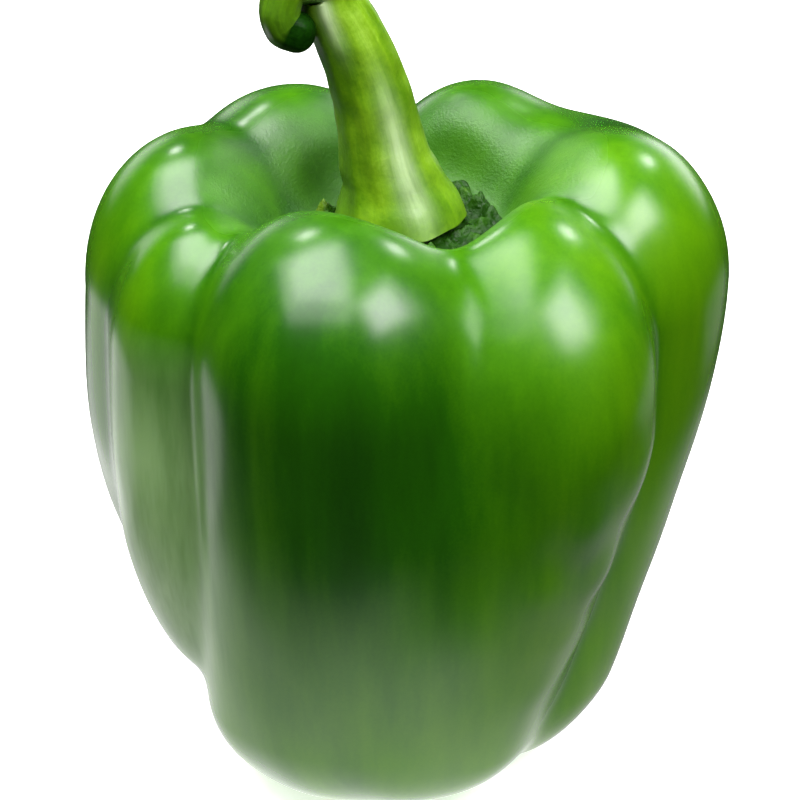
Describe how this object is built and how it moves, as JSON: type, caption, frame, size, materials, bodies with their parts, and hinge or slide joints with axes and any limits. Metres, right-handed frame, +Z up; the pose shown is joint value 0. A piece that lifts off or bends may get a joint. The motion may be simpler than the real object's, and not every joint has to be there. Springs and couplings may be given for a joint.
{
  "type": "bell pepper",
  "caption": "Upright green bell pepper with swollen lobes, a hollow shoulder, a knobbly calyx and a thick stem that curls over at its end.",
  "frame": {"origin": "on the surface that the pepper stands on, under the middle of its width and depth", "axes": "+Z up through the fruit, +X to the right across its widest side, +Y away from its broad front face"},
  "size_m": [0.089, 0.0726, 0.1202],
  "materials": {
    "skin": "waxy, glossy fresh green skin with soft darker and lighter streaks from shoulder to foot",
    "calyx": "knobbly dark green calyx with small moist glints",
    "stem": "satin yellow-green stem with faint ridges and a dark cut end"
  },
  "bodies": {
    "root": {"fruit": "skin", "calyx": "calyx", "stem": "stem"}
  },
  "joints": []
}
